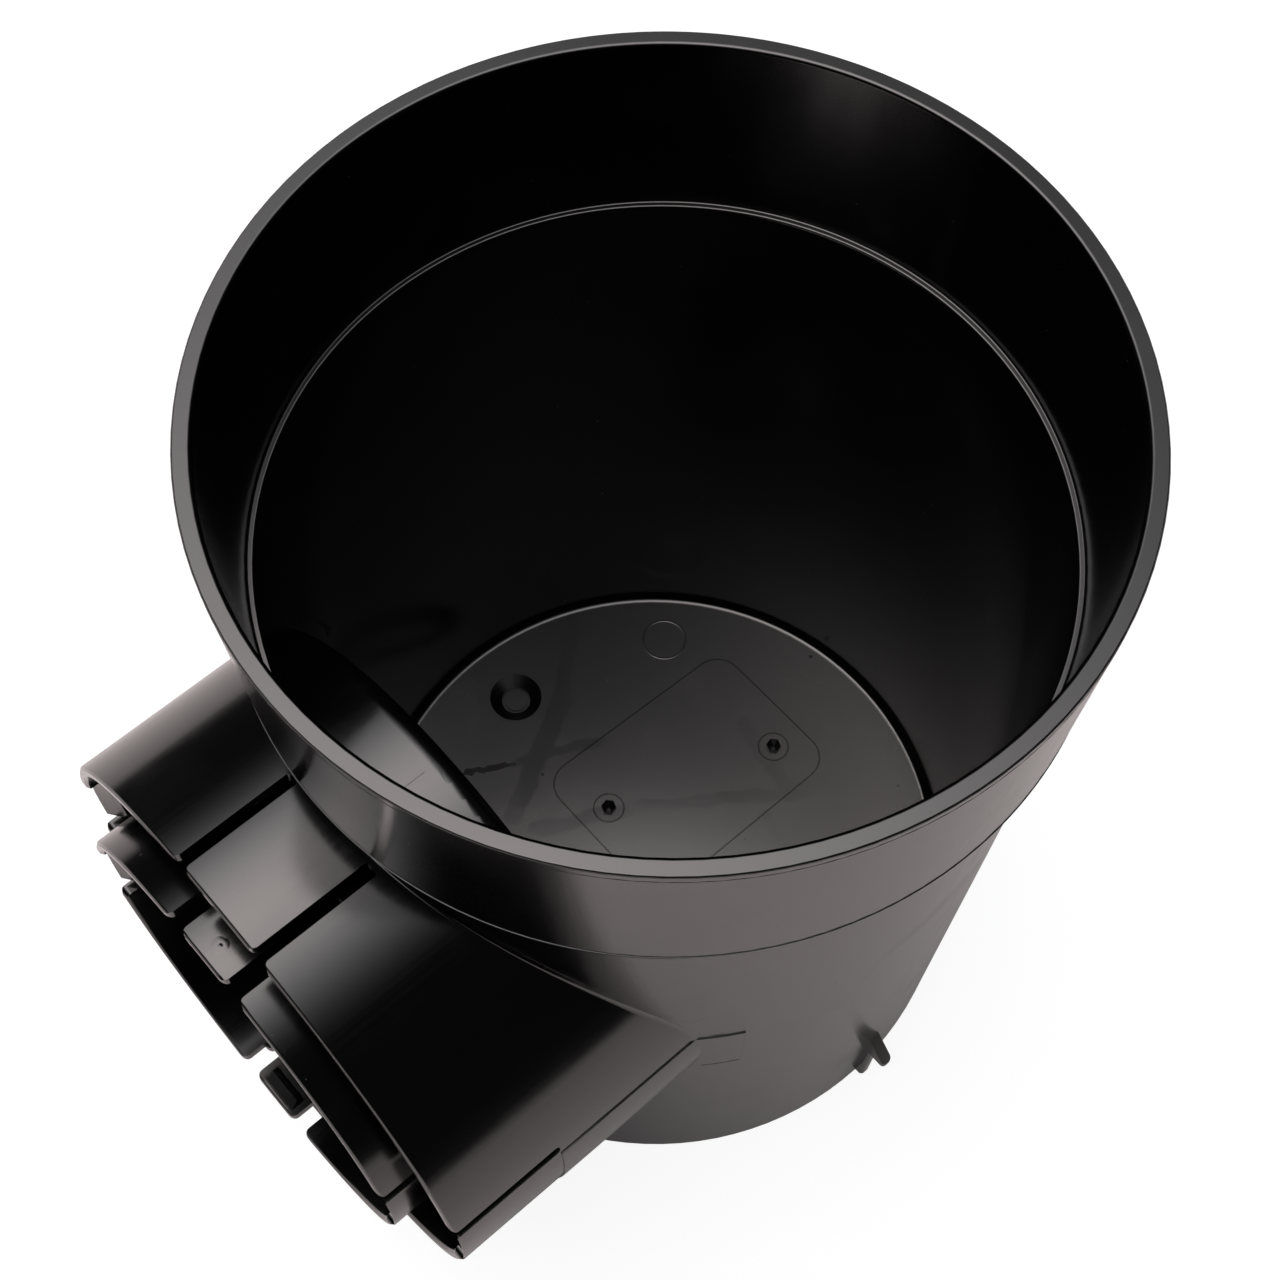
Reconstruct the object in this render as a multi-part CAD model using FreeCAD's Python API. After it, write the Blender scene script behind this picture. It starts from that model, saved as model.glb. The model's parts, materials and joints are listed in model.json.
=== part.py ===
"""Round drain catch basin, moulded in one piece, with a two-size pipe hub in its side.

The basin's axis is Z, with the base on z = 0. The pipe hub points along +X. Sizes are in millimetres.
"""
import FreeCAD, Part
import math
import os

# Basin, from the base up
RIM_DIAMETER = 152.4
RIM_WIDTH = 3.2
COLLAR_DEPTH = 40.6
COLLAR_OUTER_TAPER = 3.1
STEP_WIDTH = 2.4
STEP_HEIGHT = 2.5
LEDGE_WIDTH = 1.35
LEDGE_RISE = 2.2
BODY_TAPER = 2.25
WALL = 2.6
FOOT_HEIGHT = 4.0
FLOOR_THICKNESS = 3.0
FLOOR_BEVEL = 1.6
RIM_OUTER_BEVEL = 0.4
RIM_INNER_BEVEL = 0.7
EDGE_BEVEL = 0.5

# Pipe hub: a long inner ring for the small pipe inside a shorter outer ring for the large pipe
LARGE_PIPE = 107.06
SMALL_PIPE = 82.55
PIPE_CLEARANCE = 0.4
LARGE_WALL = 2.5
SMALL_WALL = 2.2
SUMP_DEPTH = 17.2
COLLAR_GAP = 5.9
LARGE_REACH = 26.4
SMALL_EXTRA_REACH = 5.6
STOP_INSET = 16.4
STOP_WALL = 2.5
STOP_LIP = 3.6
SHOULDER_ROUND = 4.0
SEAT_BEVEL = 0.9
RING_END_BEVEL = 0.6
HUB_ROOT_BEVEL = 0.8

# Slots that part each ring into spring tabs and quarter shells
LARGE_TAB_WIDTH = 18.4
LARGE_TAB_SLOT = 2.7
SMALL_TAB_WIDTH = 11.9
SMALL_TAB_SLOT = 3.8
SIDE_SLOT = 2.4
SIDE_SLOT_RISE = 9.4
SLOT_ROOT_GAP = 0.9
SLOT_ROOT_BEVEL = 0.6
TAB_CORNER_BEVEL = 0.7

# Parting line: below it the hub's root, and a pad on the wall beside it, stand a little proud
SEAM_RISE = 7.2
SEAM_STEP = 0.25
PAD_HEIGHT = 19.0
PAD_SPAN = 9.0

# Catch on the wall opposite the knockout
CATCH_SHIFT = 1.8
CATCH_WIDTH = 2.6
CATCH_HEIGHT = 24.0
CATCH_RIB = 1.8
CATCH_TOOTH = 5.1
CATCH_TOOTH_HEIGHT = 7.4
CATCH_TIP = 1.0
CATCH_CORNER_ROUND = 0.9

# Weep hole knockout in the floor
WEEP_RADIUS = 6.0
WEEP_FLOOR_RADIUS = 3.3
WEEP_DEPTH = 1.7
WEEP_MARGIN = 6.9
KNOCKOUT_RADIUS = 2.6
KNOCKOUT_GROOVE = 0.6
KNOCKOUT_GROOVE_DEPTH = 0.5

# Overlap of joined shapes, reach of cutters past the faces they open, slack of a point on a face
BITE = 1.0
PASS = 5.0
TOUCH = 0.01

# Hub rings
large_bore = LARGE_PIPE / 2 + PIPE_CLEARANCE
large_outer = large_bore + LARGE_WALL
small_bore = SMALL_PIPE / 2 + PIPE_CLEARANCE
small_outer = small_bore + SMALL_WALL
flow_radius = small_bore - STOP_LIP

# Heights
floor_top = FOOT_HEIGHT + FLOOR_THICKNESS
hub_height = floor_top + SUMP_DEPTH + large_outer
body_top = hub_height + large_outer + COLLAR_GAP
collar_bottom = body_top + STEP_HEIGHT
rim_top = collar_bottom + COLLAR_DEPTH
ledge_top = collar_bottom + LEDGE_RISE

# Radii of the collar and the body
rim_outer = RIM_DIAMETER / 2
rim_inner = rim_outer - RIM_WIDTH
collar_outer = rim_outer - COLLAR_DEPTH * math.tan(math.radians(COLLAR_OUTER_TAPER))
body_slope = math.tan(math.radians(BODY_TAPER))
body_top_radius = collar_outer - STEP_WIDTH


def body_radius(z):
    """Outer radius of the body's tapered wall at a height."""
    return body_top_radius - (body_top - z) * body_slope


def inner_radius(z):
    """Inner radius of the body's wall at a height."""
    return body_radius(z) - WALL


# Grate ledge
ledge_inner = inner_radius(ledge_top)
ledge_outer = ledge_inner + LEDGE_WIDTH

# Hub distances from the basin's axis
large_end = body_radius(hub_height) + LARGE_REACH
small_end = large_end + SMALL_EXTRA_REACH
stop_face = inner_radius(hub_height) - STOP_INSET
seat_face = stop_face + STOP_WALL
slot_root = body_radius(hub_height + large_outer) + SLOT_ROOT_GAP
slot_length = large_end - slot_root


def profile(corners, place):
    """Face with the given corners, put in space by place(u, v).

    A corner is (u, v), (u, v, "bevel", setback) or (u, v, "round", radius).
    """
    points = [FreeCAD.Vector(corner[0], corner[1], 0) for corner in corners]
    breaks = []
    for index, corner in enumerate(corners):
        here = points[index]
        back = (points[index - 1] - here).normalize()
        ahead = (points[(index + 1) % len(points)] - here).normalize()
        kind, size = corner[2:] or ("sharp", 0)
        if kind == "sharp":
            breaks.append([here])
        elif kind == "bevel":
            breaks.append([here + back * size, here + ahead * size])
        else:
            half = back.getAngle(ahead) / 2
            setback = size / math.tan(half)
            middle = (back + ahead).normalize() * (size / math.sin(half) - size)
            breaks.append([here + back * setback, here + middle, here + ahead * setback])
    edges = []
    for index, stretch in enumerate(breaks):
        placed = [place(point.x, point.y) for point in stretch]
        if len(placed) == 3:
            edges.append(Part.Arc(*placed).toShape())
        elif len(placed) == 2:
            edges.append(Part.makeLine(*placed))
        after = breaks[(index + 1) % len(breaks)][0]
        edges.append(Part.makeLine(placed[-1], place(after.x, after.y)))
    return Part.Face(Part.Wire(edges))


def about_basin(corners, start=0.0, turn=360.0):
    """Solid of a profile with corners at (radius, height), turned about the basin's axis."""
    face = profile(corners, lambda r, z: FreeCAD.Vector(r, 0, z))
    face.rotate(FreeCAD.Vector(0, 0, 0), FreeCAD.Vector(0, 0, 1), start)
    return face.revolve(FreeCAD.Vector(0, 0, 0), FreeCAD.Vector(0, 0, 1), turn)


def about_hub(corners):
    """Solid of a profile with corners at (distance, radius), turned about the hub's axis."""
    face = profile(corners, lambda x, r: FreeCAD.Vector(x, 0, hub_height + r))
    return face.revolve(FreeCAD.Vector(0, 0, hub_height), FreeCAD.Vector(1, 0, 0), 360)


def box(x_range, y_range, z_range):
    """Block between two corners."""
    return Part.makeBox(x_range[1] - x_range[0], y_range[1] - y_range[0], z_range[1] - z_range[0],
                        FreeCAD.Vector(x_range[0], y_range[0], z_range[0]))


def basin_shell():
    """Floor, tapered wall, grate ledge and collar in one profile."""
    return about_basin([
        (0, FOOT_HEIGHT),
        (inner_radius(FOOT_HEIGHT), FOOT_HEIGHT),
        (inner_radius(0), 0),
        (body_radius(0), 0),
        (body_top_radius, body_top),
        (collar_outer, collar_bottom, "bevel", EDGE_BEVEL),
        (rim_outer, rim_top, "bevel", RIM_OUTER_BEVEL),
        (rim_inner, rim_top, "bevel", RIM_INNER_BEVEL),
        (ledge_outer, ledge_top),
        (ledge_inner, ledge_top, "bevel", EDGE_BEVEL),
        (inner_radius(floor_top), floor_top, "bevel", FLOOR_BEVEL),
        (0, floor_top),
    ])


def basin_core():
    """Everything inside the middle of the body's wall, so that what it trims ends within the wall."""
    return about_basin([
        (0, 0),
        (body_radius(0) - WALL / 2, 0),
        (body_radius(ledge_top) - WALL / 2, ledge_top),
        (0, ledge_top),
    ])


def hub_room():
    """Whole of the hub's outline, from the rounded shoulder inside the basin to the large ring's end."""
    return about_hub([
        (stop_face, 0),
        (stop_face, large_outer, "round", SHOULDER_ROUND),
        (large_end, large_outer),
        (large_end, 0),
    ])


def hub_bore():
    """Passage through the basin's wall, as wide as the large ring's bore, in to where the pipes stop."""
    return about_hub([
        (seat_face, 0),
        (seat_face, large_bore),
        (large_end, large_bore),
        (large_end, 0),
    ])


def hub_flanks():
    """Room at both sides of the hub, between the round wall and the plane where the pipes stop."""
    room = about_hub([
        (0, 0),
        (0, large_bore),
        (seat_face, large_bore),
        (seat_face, 0),
    ])
    return room.cut(basin_core())


def hub_skirt():
    """Large ring carried in to the round wall."""
    skirt = about_hub([
        (0, large_bore),
        (0, large_outer),
        (slot_root, large_outer),
        (slot_root, large_bore),
    ])
    return skirt.cut(basin_core())


def hub_rings():
    """Both rings, joined by the wall that stops the pipes and ends in the basin's wall."""
    rings = about_hub([
        (stop_face, flow_radius),
        (stop_face, large_outer, "round", SHOULDER_ROUND),
        (large_end, large_outer, "bevel", RING_END_BEVEL),
        (large_end, large_bore, "bevel", RING_END_BEVEL),
        (seat_face, large_bore, "bevel", SEAT_BEVEL),
        (seat_face, small_outer),
        (small_end, small_outer, "bevel", RING_END_BEVEL),
        (small_end, small_bore, "bevel", RING_END_BEVEL),
        (seat_face, small_bore),
        (seat_face, flow_radius),
    ])
    return rings.cut(hub_flanks())


def slot(root, end, sides, place, depth):
    """Cutter for one slot, narrowed at its root, that bevels the corners of the tabs beside its mouth."""
    low, high = sides
    flare = 2 * TAB_CORNER_BEVEL
    face = profile([
        (root, low, "bevel", SLOT_ROOT_BEVEL),
        (end, low, "bevel", TAB_CORNER_BEVEL),
        (end, low - flare),
        (end + PASS, low - flare),
        (end + PASS, high + flare),
        (end, high + flare),
        (end, high, "bevel", TAB_CORNER_BEVEL),
        (root, high, "bevel", SLOT_ROOT_BEVEL),
    ], place)
    return face.extrude(depth)


def ring_slots(bore, outer, end, tab_width, tab_slot):
    """Cutters for one ring: a pair beside the top tab, a pair beside the bottom tab, one on each side."""
    root = end - slot_length
    mid_gap = (large_bore - small_outer) / 2
    inward = min(mid_gap, bore - flow_radius)
    far = tab_width / 2 + tab_slot
    low = math.sqrt(bore ** 2 - far ** 2) - inward
    high = outer + min(mid_gap, PASS)
    lower, upper = SIDE_SLOT_RISE - SIDE_SLOT / 2, SIDE_SLOT_RISE + SIDE_SLOT / 2
    reach = math.sqrt(bore ** 2 - upper ** 2) - inward
    cutters = []
    for side in (-1, 1):
        across = sorted((side * tab_width / 2, side * far))
        for level in (-1, 1):
            bed = hub_height + level * low
            depth = FreeCAD.Vector(0, 0, level * (high - low))
            cutters.append(slot(root, end, across, lambda x, y: FreeCAD.Vector(x, y, bed), depth))
        depth = FreeCAD.Vector(0, side * (high - reach), 0)
        upright = (hub_height + lower, hub_height + upper)
        cutters.append(slot(root, end, upright, lambda x, z: FreeCAD.Vector(x, side * reach, z), depth))
    return cutters


def on_hub_root(edge):
    """Whether an edge runs where the hub's outside leaves the body's."""
    for point in edge.discretize(5):
        off_hub = math.hypot(point.y, point.z - hub_height) - large_outer
        off_body = math.hypot(point.x, point.y) - body_radius(point.z)
        if point.x < 0 or abs(off_hub) > TOUCH or abs(off_body) > TOUCH:
            return False
    return True


def parting_sleeve():
    """Proud lower part of the hub's root, from the wall to the slots."""
    sleeve = about_hub([
        (0, large_outer - BITE),
        (0, large_outer + SEAM_STEP),
        (slot_root, large_outer + SEAM_STEP),
        (slot_root, large_outer - BITE),
    ])
    reach = large_outer + PASS
    above = box((0, slot_root), (-reach, reach), (hub_height + SEAM_RISE, hub_height + reach))
    return sleeve.cut([above, basin_core()])


def parting_pad(side):
    """Proud pad on the wall where the parting line leaves the hub."""
    top = hub_height + SEAM_RISE
    bottom = top - PAD_HEIGHT
    root = math.degrees(math.asin(large_outer / body_radius(hub_height)))
    span = math.degrees(PAD_SPAN / body_radius(hub_height))
    start = root - math.degrees(BITE / body_radius(hub_height))
    pad = about_basin([
        (body_radius(bottom) - BITE, bottom),
        (body_radius(bottom) + SEAM_STEP, bottom),
        (body_radius(top) + SEAM_STEP, top),
        (body_radius(top) - BITE, top),
    ], start, span)
    pad = pad.cut(hub_room())
    return pad if side > 0 else pad.mirror(FreeCAD.Vector(0, 0, 0), FreeCAD.Vector(0, 1, 0))


def wall_catch():
    """Rib on the +Y side of the wall, under a tooth whose top slopes out and whose underside is level."""
    left, right = -CATCH_SHIFT - CATCH_WIDTH / 2, -CATCH_SHIFT + CATCH_WIDTH / 2
    tooth_bottom = CATCH_HEIGHT - CATCH_TOOTH_HEIGHT
    wall_bottom = body_radius(0)
    wall_top = body_radius(CATCH_HEIGHT)

    def plan(back, front, z):
        return profile([
            (left, back),
            (right, back),
            (right, front, "round", CATCH_CORNER_ROUND),
            (left, front, "round", CATCH_CORNER_ROUND),
        ], lambda x, y: FreeCAD.Vector(x, y, z))

    rib = plan(wall_bottom - BITE, wall_bottom + CATCH_RIB, 0)
    rib = rib.extrude(FreeCAD.Vector(0, body_radius(tooth_bottom) - wall_bottom, tooth_bottom))
    tooth = plan(wall_top - BITE, wall_top + CATCH_TOOTH, tooth_bottom)
    tooth = tooth.extrude(FreeCAD.Vector(0, 0, CATCH_TOOTH_HEIGHT))
    slope = profile([
        (wall_top, CATCH_HEIGHT),
        (wall_top + CATCH_TOOTH, tooth_bottom + CATCH_TIP),
        (wall_top + CATCH_TOOTH + PASS, tooth_bottom + CATCH_TIP),
        (wall_top + CATCH_TOOTH + PASS, CATCH_HEIGHT + PASS),
        (wall_top, CATCH_HEIGHT + PASS),
    ], lambda y, z: FreeCAD.Vector(left - PASS, y, z))
    return rib.fuse(tooth.cut(slope.extrude(FreeCAD.Vector(CATCH_WIDTH + 2 * PASS, 0, 0))))


def weep_knockout():
    """Dished recess in the floor, with a groove round the disc that is punched out."""
    radius = inner_radius(floor_top) - FLOOR_BEVEL - WEEP_MARGIN - WEEP_RADIUS
    pit = floor_top - WEEP_DEPTH
    up = FreeCAD.Vector(0, 0, 1)
    dish = Part.makeCone(WEEP_FLOOR_RADIUS, WEEP_RADIUS, WEEP_DEPTH, FreeCAD.Vector(0, -radius, pit), up)
    seat = FreeCAD.Vector(0, -radius, pit - KNOCKOUT_GROOVE_DEPTH)
    deep = KNOCKOUT_GROOVE_DEPTH + WEEP_DEPTH / 2
    groove = Part.makeCylinder(KNOCKOUT_RADIUS + KNOCKOUT_GROOVE, deep, seat, up)
    disc = Part.makeCylinder(KNOCKOUT_RADIUS, deep, seat, up)
    return dish.fuse(groove.cut(disc))


def basin():
    """The whole moulding."""
    solid = basin_shell().cut(hub_bore()).fuse([hub_skirt(), hub_rings()]).removeSplitter()
    solid = solid.makeChamfer(HUB_ROOT_BEVEL, [edge for edge in solid.Edges if on_hub_root(edge)])
    solid = solid.cut(ring_slots(large_bore, large_outer, large_end, LARGE_TAB_WIDTH, LARGE_TAB_SLOT))
    solid = solid.cut(ring_slots(small_bore, small_outer, small_end, SMALL_TAB_WIDTH, SMALL_TAB_SLOT))
    solid = solid.fuse([wall_catch(), parting_sleeve(), parting_pad(-1), parting_pad(1)])
    return solid.cut(weep_knockout()).removeSplitter()


os.makedirs("parts", exist_ok=True)
moulding = basin()
moulding.Solids[0].exportStep("parts/basin.step")
print("solids", len(moulding.Solids), "valid", moulding.isValid(), "volume", round(moulding.Volume))
print("height", round(rim_top, 2), "hub axis", round(hub_height, 2), "ring ends", round(large_end, 2),
      round(small_end, 2), "stop", round(stop_face, 2), "slots from", round(slot_root, 2))
print("radii: base", round(body_radius(0), 2), "body top", round(body_top_radius, 2), "collar foot",
      round(collar_outer, 2), "ledge", round(ledge_outer, 2), round(ledge_inner, 2), "floor",
      round(inner_radius(floor_top), 2), "wall", round(body_radius(hub_height) - inner_radius(hub_height), 2))
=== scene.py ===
"""Looks of the catch basin: black moulded plastic, its mould marks, and a pale studio.

Lengths are in metres unless a name ends in _MM. The frame is the part's own: the basin's axis is Z,
the base is on z = 0 and the pipe hub points along +X.
"""
import json
import math

import bmesh
import bpy
import numpy as np
from mathutils import Matrix, Vector


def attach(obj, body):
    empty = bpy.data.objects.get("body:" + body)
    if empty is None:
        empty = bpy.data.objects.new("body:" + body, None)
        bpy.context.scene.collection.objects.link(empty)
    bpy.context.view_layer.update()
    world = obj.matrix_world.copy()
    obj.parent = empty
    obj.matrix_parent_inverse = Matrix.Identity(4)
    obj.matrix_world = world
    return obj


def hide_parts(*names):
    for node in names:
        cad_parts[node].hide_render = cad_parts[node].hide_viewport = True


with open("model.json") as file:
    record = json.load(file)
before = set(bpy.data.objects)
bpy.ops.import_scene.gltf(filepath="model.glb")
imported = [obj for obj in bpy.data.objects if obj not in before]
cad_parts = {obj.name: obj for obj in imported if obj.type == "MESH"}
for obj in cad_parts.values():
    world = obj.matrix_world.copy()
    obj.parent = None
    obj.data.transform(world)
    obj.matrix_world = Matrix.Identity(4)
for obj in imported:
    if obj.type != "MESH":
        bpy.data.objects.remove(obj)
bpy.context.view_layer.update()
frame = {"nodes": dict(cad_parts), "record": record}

MM = 0.001
NODE = "basin"
BODY = "root"

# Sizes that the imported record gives
mounts = {mount["name"]: mount for mount in frame["record"]["mounts"]}
small_socket = mounts["pipe_socket_small"]
large_socket = mounts["pipe_socket_large"]
hub_height = small_socket["pos_m"][2]
small_bore = small_socket["dims"]["r_mm"] * MM
large_bore = large_socket["dims"]["r_mm"] * MM
rim_top = mounts["rim"]["pos_m"][2]
ledge_top = mounts["grate_ledge"]["pos_m"][2]

# Sizes of the moulding that the record doesn't give
LARGE_WALL = 2.5 * MM
SMALL_WALL = 2.2 * MM
SEAM_STEP = 0.25 * MM
HUB_START = 30.0 * MM
FLOOR_TOP = 7.0 * MM
FLOOR_BEVEL = 1.6 * MM
WEEP_CENTRE = (0.0, -49.16 * MM)
WEEP_RADIUS = 6.0 * MM
RIM_RADIUS = 76.2 * MM
COLLAR_TAPER = math.radians(3.1)
COLLAR_FOOT = 145.46 * MM
BODY_TOP, BODY_TOP_RADIUS = 142.96 * MM, 71.6 * MM
BODY_TAPER = math.radians(2.25)
PAD_TOP, PAD_BOTTOM = 87.83 * MM, 68.83 * MM
PAD_ROOT, PAD_END = math.radians(55.2), math.radians(61.3)
large_outer = large_bore + LARGE_WALL
small_outer = small_bore + SMALL_WALL

# Slots and tabs of the hub's rings: the width of a tab is that of the top and bottom ones,
# and a setback is how far a side tab's end stands behind its ring's end, on -Y and on +Y
MOUTH_BEVEL = 0.6 * MM
SLOT_LENGTH = 23.3 * MM
SIDE_SLOT, SIDE_SLOT_RISE = 2.4 * MM, 9.4 * MM
LARGE_TAB, LARGE_TAB_SLOT = 18.4 * MM, 2.7 * MM
SMALL_TAB, SMALL_TAB_SLOT = 11.9 * MM, 3.8 * MM
TAB_SETBACKS = ((-1, 1.5 * MM), (1, 0.2 * MM))
TAB_SLANT = 0.75
CORNER_ROUND = 1.4 * MM
CORNER_STEPS = 9

# Cutters that shape them: how far they reach past a face and into a bore, and how far they open a root
CUT_MARGIN = 1.0 * MM
CUT_DEPTH = 3.0 * MM
CUT_STEPS = 12
ROOT_RELIEF = 0.05 * MM


def ring_end(socket):
    """Place along X of the end of a ring."""
    return socket["pos_m"][0] + socket["dims"]["length_mm"] * MM / 2 + MOUTH_BEVEL


hub_rings = (
    (large_bore, large_outer, ring_end(large_socket)),
    (small_bore, small_outer, ring_end(small_socket)),
)
hub_tabs = ((LARGE_TAB, LARGE_TAB_SLOT), (SMALL_TAB, SMALL_TAB_SLOT))

# Points this close are one point, and faces this far outside a zone still belong to it
WELD = 2e-6
ZONE_MARGIN = 0.05 * MM

# Shading of the moulding: how far a turned surface's flat normals may lean sideways, the angles up to which
# faces make one patch and shade as one surface, and which patches count as bevels and how little they weigh
TURNED_LIMIT = 0.08
PATCH_ANGLE = math.radians(9)
SAME_SURFACE_ANGLE = math.radians(12)
BEVEL_ANGLE = math.radians(50)
BEVEL_WIDTH = 1.3 * MM
BEVEL_WEIGHT = 1e-4
SQUARE = 0.98

# Least amounts that are divided by
TINY = 1e-12
TINY_AREA = 1e-15
TINY_OUTLINE = 1e-9


def turned_normals(corners, normals, point, axis):
    """Normals at the corners of triangles that belong to a surface turned about an axis.

    Triangles that don't belong to one keep their own flat normal.
    """
    axis = np.array(axis, float)

    def outward(positions):
        arm = positions - np.array(point, float)
        arm = arm - (arm @ axis)[..., None] * axis
        return arm / np.maximum(np.linalg.norm(arm, axis=-1), TINY)[..., None]

    middle = outward(corners.mean(axis=1))
    lengthwise = normals @ axis
    radial = (normals * middle).sum(axis=1)
    sideways = normals - lengthwise[:, None] * axis - radial[:, None] * middle
    fits = np.linalg.norm(sideways, axis=1) < TURNED_LIMIT
    spread = np.sign(radial) * np.sqrt(np.clip(1 - lengthwise ** 2, 0, 1))
    turned = spread[:, None, None] * outward(corners) + lengthwise[:, None, None] * axis
    return np.where(fits[:, None, None], turned, normals[:, None, :])


def patch_widths(triangles, places, normals, areas):
    """Width of the smooth patch that each triangle is part of: its area over half its outline."""
    sides = [triangles[:, ends] for ends in ([0, 1], [1, 2], [2, 0])]
    edges = np.sort(np.concatenate(sides), axis=1)
    owners = np.tile(np.arange(len(triangles)), 3)
    order = np.lexsort((edges[:, 1], edges[:, 0]))
    edges, owners = edges[order], owners[order]
    paired = np.nonzero((edges[1:] == edges[:-1]).all(axis=1))[0]
    first, second = owners[paired], owners[paired + 1]
    joined = (normals[first] * normals[second]).sum(axis=1) > math.cos(PATCH_ANGLE)
    patch = np.arange(len(triangles))
    changed = True
    while changed:
        before = patch.copy()
        lowest = np.minimum(patch[first[joined]], patch[second[joined]])
        np.minimum.at(patch, first[joined], lowest)
        np.minimum.at(patch, second[joined], lowest)
        patch = patch[patch]
        changed = (patch != before).any()
    lengths = np.linalg.norm(places[edges[paired, 0]] - places[edges[paired, 1]], axis=1)
    border = patch[first] != patch[second]
    outline = np.zeros(len(triangles))
    np.add.at(outline, patch[first[border]], lengths[border])
    np.add.at(outline, patch[second[border]], lengths[border])
    surface = np.zeros(len(triangles))
    np.add.at(surface, patch, areas)
    return (2 * surface / np.maximum(outline, TINY_OUTLINE))[patch]


def shade_moulding(mesh):
    """Gives every corner the true surface's normal, and lets narrow bevels shade as rounded edges.

    Returns the triangles of the hub and of the floor, as two masks.
    """
    positions = np.empty(len(mesh.vertices) * 3)
    mesh.vertices.foreach_get("co", positions)
    places = positions.reshape(-1, 3)
    indices = np.empty(len(mesh.loops), int)
    mesh.loops.foreach_get("vertex_index", indices)
    triangles = indices.reshape(-1, 3)
    corners = places[triangles]
    crosses = np.cross(corners[:, 1] - corners[:, 0], corners[:, 2] - corners[:, 0])
    areas = np.linalg.norm(crosses, axis=1) / 2
    flat = crosses / np.maximum(2 * areas, TINY_AREA)[:, None]

    from_hub = np.hypot(corners[..., 1], corners[..., 2] - hub_height)
    hub_reach = large_outer + SEAM_STEP + ZONE_MARGIN
    in_hub = ((from_hub < hub_reach) & (corners[..., 0] > HUB_START)).all(axis=1)
    from_weep = np.hypot(corners[..., 0] - WEEP_CENTRE[0], corners[..., 1] - WEEP_CENTRE[1])
    in_weep = (from_weep < WEEP_RADIUS + ZONE_MARGIN).all(axis=1)
    above_floor = corners[..., 2] - FLOOR_TOP
    on_floor = (np.abs(above_floor) < ZONE_MARGIN).all(axis=1) | in_weep
    bevel_top = FLOOR_BEVEL + ZONE_MARGIN
    in_floor_bevel = ((above_floor > -ZONE_MARGIN) & (above_floor < bevel_top)).all(axis=1)

    exact = turned_normals(corners, flat, (0, 0, 0), (0, 0, 1))
    about_hub = turned_normals(corners, flat, (0, 0, hub_height), (1, 0, 0))
    about_weep = turned_normals(corners, flat, (*WEEP_CENTRE, 0), (0, 0, 1))
    exact[in_hub] = about_hub[in_hub]
    exact[in_weep] = about_weep[in_weep]

    lengthwise = np.abs(np.where(in_hub, flat[:, 0], flat[:, 2]))
    narrow = (patch_widths(triangles, places, flat, areas) < BEVEL_WIDTH) | in_floor_bevel
    bevel = narrow & (lengthwise < SQUARE) & ~in_weep
    weights = np.where(bevel, areas * BEVEL_WEIGHT, areas)

    around = [[] for _ in places]
    for triangle, row in enumerate(triangles):
        for corner, vertex in enumerate(row):
            around[vertex].append((triangle, corner))
    same, eased = math.cos(SAME_SURFACE_ANGLE), math.cos(BEVEL_ANGLE)
    smooth = np.empty_like(exact)
    for triangle, row in enumerate(triangles):
        for corner, vertex in enumerate(row):
            faces, spots = (list(part) for part in zip(*around[vertex]))
            near = exact[faces, spots]
            limits = np.where(bevel[faces] | bevel[triangle], eased, same)
            weight = weights[faces] * (near @ exact[triangle, corner] > limits)
            total = weight @ near
            smooth[triangle, corner] = total / max(np.linalg.norm(total), TINY)
    mesh.polygons.foreach_set("use_smooth", np.ones(len(triangles), bool))
    mesh.normals_split_custom_set(smooth.reshape(-1, 3).tolist())
    return in_hub, on_floor


# Plastic: its colours and gloss
BLACK = (0.0010, 0.0011, 0.0011)
CHALKY = (0.0034, 0.0033, 0.0032)
DUST = (0.075, 0.073, 0.070)
IOR = 1.5
GLOSS = 0.7

# Noise of the streaks, waves and rubbed patches
NOISE_MIDDLE = 0.5
STREAK_DETAIL, STREAK_DISTORTION = 3.0, 0.4
WAVE_DETAIL = 2.0
RUB_SCALE, RUB_DETAIL, RUB_DISTORTION = 55.0, 6.0, 0.8
RUB_LIMITS = (0.52, 0.72)

# How much the marks show in the colour and the roughness
RUB_COVER, RUB_DULLING = 0.5, 0.07
DUST_COVER, DUST_DULLING = 0.6, 0.4
WIPE_POLISH = 0.08
SMEAR_DULLING = 0.6

# Specks: cells per metre, share of them that holds a speck, and its soft edge in cells
DUST_CELLS, DUST_SHARE, DUST_EDGE = 420.0, 0.05, (0.03, 0.09)
SPOT_CELLS, SPOT_SHARE, SPOT_EDGE = 160.0, 0.22, (0.05, 0.09)
SPOT_DULLING = 0.9

# Places of a Mix node's colour sockets
MIX_FIRST, MIX_SECOND, MIX_RESULT = 6, 7, 2


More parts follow.
